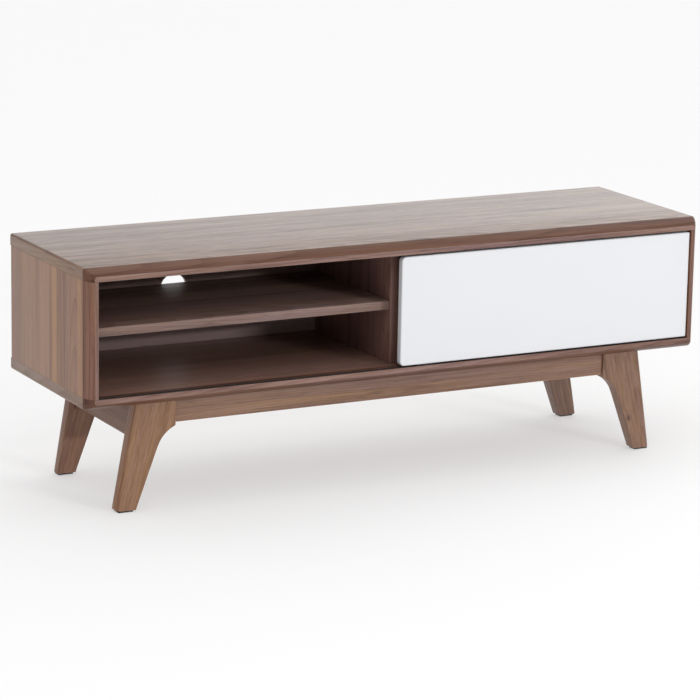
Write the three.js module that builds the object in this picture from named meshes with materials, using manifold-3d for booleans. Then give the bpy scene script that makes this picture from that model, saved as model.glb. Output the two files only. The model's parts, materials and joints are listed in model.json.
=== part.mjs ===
// Media console in walnut: a low cabinet with an open niche and one sliding door on a splayed leg frame.
// Millimetres, +Z up. Origin on the floor under the middle of the cabinet, front towards -Y.
import * as THREE from 'three';
import { mergeVertices } from 'three/addons/utils/BufferGeometryUtils.js';
import Module from 'manifold-3d';

const wasm = await Module();
wasm.setup();

// ---------- Driving dimensions ----------
const WIDTH = 1400;
const DEPTH = 400;
const CARCASS_HEIGHT = 281;
const LEG_FRAME_HEIGHT = 222;
const GAP = 0.3;
const OVERSHOOT = 1;

const BOARD = 24;
const SIDE_BOARD = 22;
const SIDE_REAR_SETBACK = 4;
const CORNER_RADIUS = 5;

const NOSE_DEPTH = 27.5;
const NOSE_INSET = 14;
const LIP_STEP = 1.2;
const LIP_QUIRK = 0.6;
const NOSE_FULLNESS = 1.25;
const NOSE_STEPS = 8;

const PANEL_THICKNESS = 9;
const PANEL_FRONT_FROM_FRONT = 380;
const REBATE = 8;
const CABLE_HOLE_RADIUS = 30;
const CABLE_HOLE_FROM_END = 354;
const CABLE_HOLE_ABOVE_CARCASS_BOTTOM = 142.5;

const DIVIDER_THICKNESS = 18;
const DIVIDER_LEFT_FROM_END = 684;
const DIVIDER_FROM_FRONT = 46;

const SHELF_THICKNESS = 18;
const SHELF_FROM_FRONT = 51;
const SHELF_ABOVE_CARCASS_BOTTOM = 136;
const SHELF_REAR_GAP = 2;
const SHELF_SIDE_GAP = 0.5;

const PIN_RADIUS = 2.4;
const PIN_HOLE_RADIUS = 2.7;
const PIN_IN_BOARD = 8;
const PIN_UNDER_SHELF = 9;
const PIN_PITCH = 45;
const PIN_FROM_FRONT = 74;
const PIN_FROM_BACK = 70;
const PIN_END_CHAMFER = 1;

const DOOR_WIDTH = 689.5;
const DOOR_HEIGHT = 225.5;
const DOOR_THICKNESS = 15;
const DOOR_BEHIND_LIP = 3;
const DOOR_END_GAP = 2.5;
const DOOR_FLOOR_GAP = 3;
const DOOR_LEFT_CORNER_RADIUS = 9;
const DOOR_RIGHT_CORNER_RADIUS = 3;

const TRACK_WIDTH = 12;
const TRACK_HEIGHT = 8;
const TRACK_SLOT = 6;
const TRACK_BASE = 2;
const GLIDE_LENGTH = 40;
const GLIDE_THICKNESS = 5;
const GLIDE_FROM_DOOR_END = 60;
const GUIDE_TIP_GAP = 1;

const LEG_FRONT_FROM_FRONT = 40;
const LEG_REAR_FROM_BACK = 25;
const LEG_THICKNESS = 30;
const LEG_TOP_OUTER = 118.5;
const LEG_TOP_INNER = 204.5;
const LEG_FOOT_OUTER = 79;
const LEG_FOOT_INNER = 119.5;
const LEG_INNER_LEAN = THREE.MathUtils.degToRad(20.5);
const LEG_CURVE_RADIUS = 69;
const LEG_CURVE_STEPS = 8;
const FOOT_PAD_HEIGHT = 4;
const FOOT_PAD_INSET = 4;

const APRON_HEIGHT = 48.7;
const APRON_THICKNESS = 20;
const APRON_RECESS = 5;
const RAIL_HEIGHT = 77;
const RAIL_THICKNESS = 20;
const RAIL_FILLET = 9;
const RAIL_FILLET_FLAT = 1;
const RAIL_FILLET_STEPS = 4;

const BLOCK_SIDE = 62;
const BLOCK_HEIGHT = 40;
const BLOCK_SCREW_OFFSET = 20;

// Sides of round holes and of turned pieces.
const SMALL_HOLE_SIDES = 8;
const TURNED_SIDES = 10;
const CABLE_HOLE_SIDES = 32;

// ---------- Derived positions ----------
const FRONT_Y = -DEPTH / 2;
const BACK_Y = DEPTH / 2;
const END_X = WIDTH / 2;
const CARCASS_BOTTOM = LEG_FRAME_HEIGHT;
const CARCASS_TOP = CARCASS_BOTTOM + CARCASS_HEIGHT;
const INNER_FLOOR = CARCASS_BOTTOM + BOARD;
const INNER_CEILING = CARCASS_TOP - BOARD;
const INNER_X = END_X - SIDE_BOARD;
const PANEL_FRONT_Y = FRONT_Y + PANEL_FRONT_FROM_FRONT;
const PANEL_BACK_Y = PANEL_FRONT_Y + GAP + PANEL_THICKNESS;
const DIVIDER_LEFT_X = -END_X + DIVIDER_LEFT_FROM_END;
const DIVIDER_RIGHT_X = DIVIDER_LEFT_X + DIVIDER_THICKNESS;
const SHELF_BOTTOM = CARCASS_BOTTOM + SHELF_ABOVE_CARCASS_BOTTOM;
const PIN_Z = SHELF_BOTTOM - GAP - PIN_RADIUS;
const PIN_YS = [FRONT_Y + PIN_FROM_FRONT, BACK_Y - PIN_FROM_BACK];
const CABLE_HOLE_X = -END_X + CABLE_HOLE_FROM_END;
const DOOR_RIGHT_X = INNER_X - DOOR_END_GAP;
const DOOR_LEFT_X = DOOR_RIGHT_X - DOOR_WIDTH;
const DOOR_FRONT_Y = FRONT_Y + DOOR_BEHIND_LIP;
const DOOR_MIDDLE_Y = DOOR_FRONT_Y + DOOR_THICKNESS / 2;
const DOOR_BOTTOM = INNER_FLOOR + DOOR_FLOOR_GAP;
const DOOR_TOP = DOOR_BOTTOM + DOOR_HEIGHT;
const LEG_TOP_Z = CARCASS_BOTTOM - GAP;
const LEG_FOOT_DROP = LEG_FRAME_HEIGHT - FOOT_PAD_HEIGHT;
const FRONT_LEG_Y = FRONT_Y + LEG_FRONT_FROM_FRONT;
const REAR_LEG_Y = BACK_Y - LEG_REAR_FROM_BACK - LEG_THICKNESS;

// ---------- Materials ----------
const walnut = { color: 0x8a6650, roughness: 0.5, metalness: 0 };
const walnutFrame = { color: 0x7d5a45, roughness: 0.5, metalness: 0 };
const whiteLacquer = { color: 0xeceef2, roughness: 0.3, metalness: 0 };
const blackPlastic = { color: 0x1c1b1a, roughness: 0.5, metalness: 0 };
const nylon = { color: 0x2e2d2b, roughness: 0.55, metalness: 0 };
const steel = { color: 0xa8a9aa, roughness: 0.35, metalness: 1 };

// ---------- Solid helpers ----------
function toSolid(geometry) {
  const bare = geometry.index ? geometry.toNonIndexed() : geometry.clone();
  bare.deleteAttribute('normal');
  bare.deleteAttribute('uv');
  const merged = mergeVertices(bare, 1e-4);
  return new wasm.Manifold(new wasm.Mesh({
    numProp: 3,
    vertProperties: new Float32Array(merged.attributes.position.array),
    triVerts: new Uint32Array(merged.index.array),
  }));
}

function toGeometry(solid) {
  const mesh = solid.getMesh();
  const geometry = new THREE.BufferGeometry();
  geometry.setAttribute('position', new THREE.BufferAttribute(new Float32Array(mesh.vertProperties), 3));
  geometry.setIndex(new THREE.BufferAttribute(new Uint32Array(mesh.triVerts), 1));
  geometry.computeVertexNormals();
  return geometry;
}

function cut(solid, ...tools) {
  return tools.reduce((left, tool) => left.subtract(tool), solid);
}

function boxGeometry(low, high) {
  const size = high.map((value, axis) => value - low[axis]);
  const middle = high.map((value, axis) => (value + low[axis]) / 2);
  const geometry = new THREE.BoxGeometry(...size);
  geometry.translate(...middle);
  return geometry;
}

function boxSolid(low, high) {
  return toSolid(boxGeometry(low, high));
}

// A cylinder whose axis runs from one point to another along X, Y or Z.
function rodSolid(radius, from, to, sides) {
  const start = new THREE.Vector3(...from);
  const direction = new THREE.Vector3(...to).sub(start);
  const geometry = new THREE.CylinderGeometry(radius, radius, direction.length(), sides);
  geometry.translate(0, direction.length() / 2, 0);
  const turn = new THREE.Quaternion().setFromUnitVectors(
    new THREE.Vector3(0, 1, 0),
    direction.clone().normalize(),
  );
  geometry.applyQuaternion(turn);
  geometry.translate(start.x, start.y, start.z);
  return toSolid(geometry);
}

// A closed outline in the XZ plane, extruded from y towards +Y.
function plateGeometry(outline, y, thickness) {
  const shape = new THREE.Shape(outline.map(([x, z]) => new THREE.Vector2(x, z)));
  const geometry = new THREE.ExtrudeGeometry(shape, { depth: thickness, bevelEnabled: false });
  geometry.rotateX(Math.PI / 2);
  geometry.translate(0, y + thickness, 0);
  return geometry;
}

// A closed outline with round corners, whose left and right corners may differ.
function roundedRectangle(lowX, lowZ, highX, highZ, leftRadius, rightRadius = leftRadius, steps = 4) {
  const corners = [
    [highX - rightRadius, highZ - rightRadius, rightRadius],
    [lowX + leftRadius, highZ - leftRadius, leftRadius],
    [lowX + leftRadius, lowZ + leftRadius, leftRadius],
    [highX - rightRadius, lowZ + rightRadius, rightRadius],
  ];
  return corners.flatMap(([x, z, radius], quarter) => Array.from({ length: steps + 1 }, (_, step) => {
    const angle = (quarter + step / steps) * Math.PI / 2;
    return [x + radius * Math.cos(angle), z + radius * Math.sin(angle)];
  }));
}

// ---------- Carcass ----------
// Rings of the carcass outline from the front lip back: a small square lip, then a softly bowed bevel.
// The bevel is a quarter of a superellipse: a fullness of 1 is a flat bevel and 2 a quarter-ellipse.
function carcassRings() {
  const noseInset = NOSE_INSET - LIP_QUIRK;
  const rings = [
    { y: 0, inset: NOSE_INSET },
    { y: LIP_STEP, inset: NOSE_INSET },
  ];
  for (let step = 0; step <= NOSE_STEPS; step += 1) {
    const angle = (step / NOSE_STEPS) * Math.PI / 2;
    rings.push({
      y: LIP_STEP + (NOSE_DEPTH - LIP_STEP) * (1 - Math.max(0, Math.cos(angle)) ** (2 / NOSE_FULLNESS)),
      inset: noseInset * (1 - Math.sin(angle) ** (2 / NOSE_FULLNESS)),
    });
  }
  rings.push({ y: DEPTH, inset: 0 });
  return rings;
}

function carcassBlock() {
  const positions = [];
  const triangles = [];
  const rings = carcassRings();
  for (const { y, inset } of rings) {
    const outline = roundedRectangle(
      -END_X + inset,
      CARCASS_BOTTOM + inset,
      END_X - inset,
      CARCASS_TOP - inset,
      CORNER_RADIUS,
    );
    outline.forEach(([x, z]) => positions.push(x, FRONT_Y + y, z));
  }
  const count = positions.length / 3 / rings.length;
  for (let ring = 0; ring < rings.length - 1; ring += 1) {
    for (let side = 0; side < count; side += 1) {
      const a = ring * count + side;
      const b = ring * count + ((side + 1) % count);
      triangles.push(a, a + count, b, b, a + count, b + count);
    }
  }
  const last = (rings.length - 1) * count;
  for (let side = 1; side < count - 1; side += 1) {
    triangles.push(0, side, side + 1);
    triangles.push(last, last + side + 1, last + side);
  }
  const geometry = new THREE.BufferGeometry();
  geometry.setAttribute('position', new THREE.Float32BufferAttribute(positions, 3));
  geometry.setIndex(triangles);
  return toSolid(geometry);
}

function rebateTool() {
  return boxSolid(
    [-INNER_X - REBATE, PANEL_FRONT_Y, INNER_FLOOR - REBATE],
    [INNER_X + REBATE, BACK_Y + OVERSHOOT, INNER_CEILING + REBATE],
  );
}

function trackGrooveTool(low, high) {
  return boxSolid(
    [-INNER_X, DOOR_MIDDLE_Y - TRACK_WIDTH / 2 - GAP, low],
    [INNER_X, DOOR_MIDDLE_Y + TRACK_WIDTH / 2 + GAP, high],
  );
}

function shelfPinHoles(faceX, direction) {
  const heights = [-1, 0, 1].map((step) => PIN_Z + step * PIN_PITCH);
  return PIN_YS.flatMap((y) => heights.map((z) => rodSolid(
    PIN_HOLE_RADIUS,
    [faceX - direction * OVERSHOOT, y, z],
    [faceX + direction * (PIN_IN_BOARD + OVERSHOOT), y, z],
    TURNED_SIDES,
  )));
}

// ---------- Screws ----------
// Screws are turned about their axis: a low domed head and a plain shank, along +Y of the geometry.
// The dome's points are shares of the head's radius and height.
const HEAD_DOME = [[0, 1], [0.6, 0.85], [1, 0.3]];
const PANEL_SCREW = { head: 3.4, headHeight: 1.8, shank: 1.5, length: 18 };
const BLOCK_SCREW = { head: 5.2, headHeight: 2.8, shank: 2.5, length: 56 };
const SCREW_HOLE_CLEARANCE = 0.4;
const PANEL_SCREW_XS = [-600, -220, 220, 600];
const PANEL_SCREW_HEIGHTS = [292, 433];

function screwGeometry({ head, headHeight, shank, length }) {
  const profile = [
    ...HEAD_DOME.map(([across, up]) => [head * across, -headHeight * up]),
    [head, 0],
    [shank, 0],
    [shank, length - shank],
    [0, length],
  ];
  return new THREE.LatheGeometry(profile.map(([x, y]) => new THREE.Vector2(x, y)), TURNED_SIDES);
}

function panelScrewPlaces() {
  const edgeZ = [INNER_FLOOR - REBATE / 2, INNER_CEILING + REBATE / 2];
  const edgeX = INNER_X + REBATE / 2;
  const along = edgeZ.flatMap((z) => PANEL_SCREW_XS.map((x) => [x, z]));
  const sides = [-edgeX, edgeX].flatMap((x) => PANEL_SCREW_HEIGHTS.map((z) => [x, z]));
  const middle = PANEL_SCREW_HEIGHTS.map((z) => [DIVIDER_LEFT_X + DIVIDER_THICKNESS / 2, z]);
  return [...along, ...sides, ...middle];
}

function panelScrewHoles() {
  return panelScrewPlaces().map(([x, z]) => rodSolid(
    PANEL_SCREW.shank + SCREW_HOLE_CLEARANCE,
    [x, PANEL_BACK_Y + OVERSHOOT, z],
    [x, PANEL_BACK_Y - PANEL_SCREW.length - OVERSHOOT, z],
    SMALL_HOLE_SIDES,
  ));
}

function blockCorners() {
  const railInnerX = END_X - LEG_TOP_OUTER - RAIL_THICKNESS - GAP;
  const frontY = FRONT_LEG_Y + LEG_THICKNESS + GAP;
  const rearY = REAR_LEG_Y - GAP;
  return [
    { name: 'front_left', x: -railInnerX, y: frontY, alongX: 1, alongY: 1 },
    { name: 'front_right', x: railInnerX, y: frontY, alongX: -1, alongY: 1 },
    { name: 'rear_left', x: -railInnerX, y: rearY, alongX: 1, alongY: -1 },
    { name: 'rear_right', x: railInnerX, y: rearY, alongX: -1, alongY: -1 },
  ];
}

function blockScrewPlace({ x, y, alongX, alongY }) {
  return [x + alongX * BLOCK_SCREW_OFFSET, y + alongY * BLOCK_SCREW_OFFSET];
}

function blockScrewHole(corner) {
  const [x, y] = blockScrewPlace(corner);
  const bottom = LEG_TOP_Z - BLOCK_HEIGHT;
  return rodSolid(
    BLOCK_SCREW.shank + SCREW_HOLE_CLEARANCE,
    [x, y, bottom - OVERSHOOT],
    [x, y, bottom + BLOCK_SCREW.length + OVERSHOOT],
    SMALL_HOLE_SIDES,
  );
}

// ---------- Carcass boards ----------
function fullSlab(low, high) {
  return boxSolid(
    [-END_X - OVERSHOOT, FRONT_Y - OVERSHOOT, low],
    [END_X + OVERSHOOT, BACK_Y + OVERSHOOT, high],
  );
}

function topBoard(block) {
  const slab = fullSlab(INNER_CEILING, CARCASS_TOP + OVERSHOOT);
  const groove = trackGrooveTool(INNER_CEILING - OVERSHOOT, INNER_CEILING + TRACK_HEIGHT + GAP);
  return toGeometry(cut(block.intersect(slab), rebateTool(), groove, ...panelScrewHoles()));
}

function bottomBoard(block) {
  const slab = fullSlab(CARCASS_BOTTOM - OVERSHOOT, INNER_FLOOR);
  const groove = trackGrooveTool(INNER_FLOOR - TRACK_HEIGHT - GAP, INNER_FLOOR + OVERSHOOT);
  const frameHoles = blockCorners().map(blockScrewHole);
  return toGeometry(cut(block.intersect(slab), rebateTool(), groove, ...panelScrewHoles(), ...frameHoles));
}

function sideBoard(block, side) {
  const rear = BACK_Y - SIDE_REAR_SETBACK;
  const inner = side * INNER_X;
  const outer = side * (END_X + OVERSHOOT);
  const slab = boxSolid(
    [Math.min(inner, outer), FRONT_Y - OVERSHOOT, INNER_FLOOR + GAP],
    [Math.max(inner, outer), rear, INNER_CEILING - GAP],
  );
  const pinHoles = side < 0 ? shelfPinHoles(inner, -1) : [];
  return toGeometry(cut(block.intersect(slab), rebateTool(), ...panelScrewHoles(), ...pinHoles));
}

function divider() {
  const board = boxSolid(
    [DIVIDER_LEFT_X, FRONT_Y + DIVIDER_FROM_FRONT, INNER_FLOOR + GAP],
    [DIVIDER_RIGHT_X, PANEL_FRONT_Y, INNER_CEILING - GAP],
  );
  return toGeometry(cut(board, ...panelScrewHoles(), ...shelfPinHoles(DIVIDER_LEFT_X, 1)));
}

function backPanel() {
  const edge = REBATE - 2 * GAP;
  const sheet = boxSolid(
    [-INNER_X - edge, PANEL_FRONT_Y + GAP, INNER_FLOOR - edge],
    [INNER_X + edge, PANEL_BACK_Y, INNER_CEILING + edge],
  );
  const holeZ = CARCASS_BOTTOM + CABLE_HOLE_ABOVE_CARCASS_BOTTOM;
  const cableHole = rodSolid(
    CABLE_HOLE_RADIUS,
    [CABLE_HOLE_X, PANEL_FRONT_Y - OVERSHOOT, holeZ],
    [CABLE_HOLE_X, PANEL_BACK_Y + OVERSHOOT, holeZ],
    CABLE_HOLE_SIDES,
  );
  return toGeometry(cut(sheet, cableHole, ...panelScrewHoles()));
}

function nicheShelf() {
  return boxGeometry(
    [-INNER_X + SHELF_SIDE_GAP, FRONT_Y + SHELF_FROM_FRONT, SHELF_BOTTOM],
    [DIVIDER_LEFT_X - SHELF_SIDE_GAP, PANEL_FRONT_Y - SHELF_REAR_GAP, SHELF_BOTTOM + SHELF_THICKNESS],
  );
}

// A plain round pin with a rounded outer end, along +Y of the geometry with the board face at 0.
function shelfPinGeometry() {
  const profile = [
    [0, -PIN_IN_BOARD],
    [PIN_RADIUS, -PIN_IN_BOARD],
    [PIN_RADIUS, PIN_UNDER_SHELF - PIN_END_CHAMFER],
    [PIN_RADIUS - PIN_END_CHAMFER, PIN_UNDER_SHELF],
    [0, PIN_UNDER_SHELF],
  ];
  return new THREE.LatheGeometry(profile.map(([x, y]) => new THREE.Vector2(x, y)), TURNED_SIDES);
}

// ---------- Sliding door ----------
function doorPanel() {
  const outline = roundedRectangle(
    DOOR_LEFT_X,
    DOOR_BOTTOM,
    DOOR_RIGHT_X,
    DOOR_TOP,
    DOOR_LEFT_CORNER_RADIUS,
    DOOR_RIGHT_CORNER_RADIUS,
  );
  return plateGeometry(outline, DOOR_FRONT_Y, DOOR_THICKNESS);
}

// A channel along X whose slot opens upwards (opening 1) or downwards (opening -1).
function trackProfile(faceZ, opening) {
  const half = TRACK_WIDTH / 2;
  const slot = TRACK_SLOT / 2;
  const base = faceZ - opening * TRACK_HEIGHT;
  const slotFloor = base + opening * TRACK_BASE;
  const low = Math.min(base, faceZ);
  const high = Math.max(base, faceZ);
  const body = boxSolid(
    [-INNER_X + GAP, DOOR_MIDDLE_Y - half, low],
    [INNER_X - GAP, DOOR_MIDDLE_Y + half, high],
  );
  const groove = boxSolid(
    [-INNER_X, DOOR_MIDDLE_Y - slot, Math.min(slotFloor, faceZ + opening)],
    [INNER_X, DOOR_MIDDLE_Y + slot, Math.max(slotFloor, faceZ + opening)],
  );
  return toGeometry(body.subtract(groove));
}

function doorGlide(middleX, fromZ, toZ) {
  return boxGeometry(
    [middleX - GLIDE_LENGTH / 2, DOOR_MIDDLE_Y - GLIDE_THICKNESS / 2, Math.min(fromZ, toZ)],
    [middleX + GLIDE_LENGTH / 2, DOOR_MIDDLE_Y + GLIDE_THICKNESS / 2, Math.max(fromZ, toZ)],
  );
}

// ---------- Leg frame ----------
// The leg outline in its own plane: distance from the cabinet's end, height below the carcass.
function legOutline() {
  const leanX = Math.sin(LEG_INNER_LEAN);
  const leanZ = Math.cos(LEG_INNER_LEAN);
  const centreZ = -APRON_HEIGHT - LEG_CURVE_RADIUS;
  const centreX = LEG_FOOT_INNER + (LEG_CURVE_RADIUS + leanX * (centreZ + LEG_FOOT_DROP)) / leanZ;
  const startAngle = Math.acos((LEG_TOP_INNER - centreX) / LEG_CURVE_RADIUS);
  const endAngle = Math.PI - LEG_INNER_LEAN;
  const outline = [[LEG_TOP_OUTER, 0], [LEG_FOOT_OUTER, -LEG_FOOT_DROP], [LEG_FOOT_INNER, -LEG_FOOT_DROP]];
  for (let step = 0; step <= LEG_CURVE_STEPS; step += 1) {
    const angle = endAngle + (startAngle - endAngle) * (step / LEG_CURVE_STEPS);
    outline.push([
      centreX + LEG_CURVE_RADIUS * Math.cos(angle),
      centreZ + LEG_CURVE_RADIUS * Math.sin(angle),
    ]);
  }
  outline.push([LEG_TOP_INNER, 0]);
  return outline;
}

function leg(side, y) {
  const placed = legOutline().map(([fromEnd, height]) => [side * (END_X - fromEnd), LEG_TOP_Z + height]);
  const outline = side < 0 ? placed : placed.reverse();
  return plateGeometry(outline, y, LEG_THICKNESS);
}

function footPad(side, y) {
  const outer = side * (END_X - LEG_FOOT_OUTER - FOOT_PAD_INSET);
  const inner = side * (END_X - LEG_FOOT_INNER + FOOT_PAD_INSET);
  return boxGeometry(
    [Math.min(outer, inner), y + FOOT_PAD_INSET, 0],
    [Math.max(outer, inner), y + LEG_THICKNESS - FOOT_PAD_INSET, FOOT_PAD_HEIGHT - 2 * GAP],
  );
}

function apron(frontY) {
  const halfLength = END_X - LEG_TOP_INNER - GAP;
  return boxGeometry(
    [-halfLength, frontY, CARCASS_BOTTOM - APRON_HEIGHT],
    [halfLength, frontY + APRON_THICKNESS, LEG_TOP_Z],
  );
}

// The rail's outline in the YZ plane: its lower edge curves down into each leg.
function railOutline() {
  const front = FRONT_LEG_Y + LEG_THICKNESS + GAP;
  const rear = REAR_LEG_Y - GAP;
  const lower = CARCASS_BOTTOM - RAIL_HEIGHT;
  const fillet = (end, inward) => Array.from({ length: RAIL_FILLET_STEPS + 1 }, (_, step) => {
    const angle = (step / RAIL_FILLET_STEPS) * Math.PI / 2;
    return [
      end + inward * (RAIL_FILLET_FLAT + RAIL_FILLET * (1 - Math.cos(angle))),
      lower - RAIL_FILLET * (1 - Math.sin(angle)),
    ];
  });
  const frontEnd = [[front, lower - RAIL_FILLET], ...fillet(front, 1)];
  const rearEnd = [[rear, lower - RAIL_FILLET], ...fillet(rear, -1)];
  return [[front, LEG_TOP_Z], ...frontEnd, ...rearEnd.reverse(), [rear, LEG_TOP_Z]];
}

function sideRail(side) {
  const middleX = side * (END_X - LEG_TOP_OUTER - RAIL_THICKNESS / 2);
  const shape = new THREE.Shape(railOutline().map(([y, z]) => new THREE.Vector2(y, z)));
  const geometry = new THREE.ExtrudeGeometry(shape, { depth: RAIL_THICKNESS, bevelEnabled: false });
  geometry.rotateX(Math.PI / 2);
  geometry.rotateZ(Math.PI / 2);
  geometry.translate(middleX - RAIL_THICKNESS / 2, 0, 0);
  return geometry;
}

function cornerBlock(corner) {
  const { x, y, alongX, alongY } = corner;
  const outline = [[x, y], [x + alongX * BLOCK_SIDE, y], [x, y + alongY * BLOCK_SIDE]];
  const ordered = alongX * alongY > 0 ? outline : outline.reverse();
  const shape = new THREE.Shape(ordered.map(([px, py]) => new THREE.Vector2(px, py)));
  const geometry = new THREE.ExtrudeGeometry(shape, { depth: BLOCK_HEIGHT, bevelEnabled: false });
  geometry.translate(0, 0, LEG_TOP_Z - BLOCK_HEIGHT);
  return toGeometry(toSolid(geometry).subtract(blockScrewHole(corner)));
}

// ---------- Assembly ----------
const cabinet = new THREE.Group();

function addPart(name, geometry, look) {
  const mesh = new THREE.Mesh(geometry, new THREE.MeshStandardMaterial(look));
  mesh.name = name;
  cabinet.add(mesh);
  return mesh;
}

function addCarcass() {
  const block = carcassBlock();
  addPart('top_board', topBoard(block), walnut);
  addPart('bottom_board', bottomBoard(block), walnut);
  addPart('left_side_board', sideBoard(block, -1), walnut);
  addPart('right_side_board', sideBoard(block, 1), walnut);
  addPart('divider', divider(), walnut);
  addPart('back_panel', backPanel(), walnut);
  panelScrewPlaces().forEach(([x, z], index) => {
    const screw = addPart(`panel_screw_${index + 1}`, screwGeometry(PANEL_SCREW), steel);
    screw.rotation.x = Math.PI;
    screw.position.set(x, PANEL_BACK_Y + GAP, z);
  });
}

function addShelf() {
  addPart('niche_shelf', nicheShelf(), walnut);
  const walls = [
    { name: 'left', x: -INNER_X, turn: -Math.PI / 2 },
    { name: 'right', x: DIVIDER_LEFT_X, turn: Math.PI / 2 },
  ];
  walls.forEach(({ name, x, turn }) => {
    ['front', 'rear'].forEach((row, index) => {
      const pin = addPart(`shelf_pin_${row}_${name}`, shelfPinGeometry(), steel);
      pin.rotation.z = turn;
      pin.position.set(x, PIN_YS[index], PIN_Z);
    });
  });
}

function addDoor() {
  addPart('sliding_door', doorPanel(), whiteLacquer);
  addPart('lower_track', trackProfile(INNER_FLOOR, 1), blackPlastic);
  addPart('upper_track', trackProfile(INNER_CEILING, -1), blackPlastic);
  const slotFloor = INNER_FLOOR - TRACK_HEIGHT + TRACK_BASE;
  const slotCeiling = INNER_CEILING + TRACK_HEIGHT - TRACK_BASE;
  const ends = [
    { name: 'left', x: DOOR_LEFT_X + GLIDE_FROM_DOOR_END },
    { name: 'right', x: DOOR_RIGHT_X - GLIDE_FROM_DOOR_END },
  ];
  ends.forEach(({ name, x }) => {
    addPart(`lower_glide_${name}`, doorGlide(x, slotFloor + GAP, DOOR_BOTTOM - GAP), nylon);
    addPart(`upper_guide_${name}`, doorGlide(x, DOOR_TOP + GAP, slotCeiling - GUIDE_TIP_GAP), nylon);
  });
}

function addLegFrame() {
  const rows = [{ name: 'front', y: FRONT_LEG_Y }, { name: 'rear', y: REAR_LEG_Y }];
  const sides = [{ name: 'left', side: -1 }, { name: 'right', side: 1 }];
  rows.forEach((row) => sides.forEach(({ name, side }) => {
    addPart(`${row.name}_${name}_leg`, leg(side, row.y), walnutFrame);
    addPart(`${row.name}_${name}_foot_pad`, footPad(side, row.y), blackPlastic);
  }));
  addPart('front_apron', apron(FRONT_LEG_Y + APRON_RECESS), walnutFrame);
  addPart('rear_apron', apron(REAR_LEG_Y + LEG_THICKNESS - APRON_RECESS - APRON_THICKNESS), walnutFrame);
  sides.forEach(({ name, side }) => addPart(`${name}_side_rail`, sideRail(side), walnutFrame));
  blockCorners().forEach((corner) => {
    addPart(`${corner.name}_corner_block`, cornerBlock(corner), walnutFrame);
    const [x, y] = blockScrewPlace(corner);
    const screw = addPart(`${corner.name}_frame_screw`, screwGeometry(BLOCK_SCREW), steel);
    screw.rotation.x = Math.PI / 2;
    screw.position.set(x, y, LEG_TOP_Z - BLOCK_HEIGHT - GAP);
  });
}

addCarcass();
addShelf();
addDoor();
addLegFrame();

export default cabinet;
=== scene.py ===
# Media console in walnut with one white sliding door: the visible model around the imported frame.
# Metres, +Z up, origin on the floor under the middle of the cabinet, front towards -Y.
import json
import math

import bmesh
import bpy
from mathutils import Euler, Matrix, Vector


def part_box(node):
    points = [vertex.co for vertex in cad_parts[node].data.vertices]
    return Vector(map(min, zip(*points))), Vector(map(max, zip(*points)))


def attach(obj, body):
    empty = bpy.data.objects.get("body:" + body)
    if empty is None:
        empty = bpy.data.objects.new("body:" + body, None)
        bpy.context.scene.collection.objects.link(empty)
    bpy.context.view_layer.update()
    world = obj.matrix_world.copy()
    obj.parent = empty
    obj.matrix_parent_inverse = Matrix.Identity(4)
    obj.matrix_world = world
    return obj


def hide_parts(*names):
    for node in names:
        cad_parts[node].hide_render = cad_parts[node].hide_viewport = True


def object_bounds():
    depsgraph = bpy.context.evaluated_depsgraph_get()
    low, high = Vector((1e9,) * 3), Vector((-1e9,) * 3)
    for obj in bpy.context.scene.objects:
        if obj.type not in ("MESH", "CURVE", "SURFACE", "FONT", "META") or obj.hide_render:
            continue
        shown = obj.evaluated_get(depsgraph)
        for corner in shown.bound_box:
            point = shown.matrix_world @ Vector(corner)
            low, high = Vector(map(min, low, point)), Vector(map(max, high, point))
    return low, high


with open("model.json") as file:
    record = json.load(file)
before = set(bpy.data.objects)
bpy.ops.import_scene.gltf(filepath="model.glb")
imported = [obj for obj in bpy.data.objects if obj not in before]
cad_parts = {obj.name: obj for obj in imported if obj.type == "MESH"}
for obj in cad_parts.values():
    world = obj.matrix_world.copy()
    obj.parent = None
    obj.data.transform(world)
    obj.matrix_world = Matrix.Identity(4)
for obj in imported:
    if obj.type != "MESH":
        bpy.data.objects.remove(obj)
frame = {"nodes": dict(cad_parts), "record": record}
cad_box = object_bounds()

MM = 0.001
FRONT, BACK = cad_box[0].y, cad_box[1].y

# ---------- Sizes that the frame's boxes don't hold ----------
CORNER_RADIUS = 5 * MM
NOSE_DEPTH = 27.5 * MM
NOSE_INSET = 14 * MM
LIP_STEP = 1.2 * MM
LIP_QUIRK = 0.6 * MM
LIP_ROUND = 0.5 * MM
BOARD_ROUND = 0.8 * MM
NOSE_FULLNESS = 1.25
NOSE_STEPS = 18
REBATE = 8 * MM
GAP = 0.3 * MM
GROOVE_DEPTH = 8.3 * MM
GROOVE_WIDTH = 12.6 * MM
PANEL_ROUND = 0.4 * MM

DOOR_LEFT_CORNER = 9 * MM
DOOR_RIGHT_CORNER = 3 * MM
DOOR_FRONT_ROUND = 2.6 * MM
DOOR_REAR_ROUND = 1.6 * MM

CABLE_HOLE_X = -346 * MM
CABLE_HOLE_Z = 364.5 * MM
CABLE_HOLE_RADIUS = 30 * MM
CABLE_HOLE_SIDES = 72
PIN_HOLE_RADIUS = 2.7 * MM
PIN_PITCH = 45 * MM
PIN_HOLE_DEPTH = 9 * MM
PIN_HOLE_SIDES = 20
PIN_END_ROUND = 1 * MM

LEG_LEAN = math.radians(20.5)
LEG_CURVE_RADIUS = 69 * MM
APRON_HEIGHT = 48.7 * MM
LEG_TOP_WIDTH = 86 * MM
LEG_FOOT_WIDTH = 40.5 * MM
LEG_ARRIS = 2.2 * MM
LEG_SOFT_ARRIS_TOP = 4.5 * MM
LEG_SOFT_ARRIS_FOOT = 13.0 * MM
LEG_FOOT_ROUND = 1.8 * MM
LEG_CURVE_SPAN = 35 * MM
PAD_ROUND = 1.5 * MM

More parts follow.
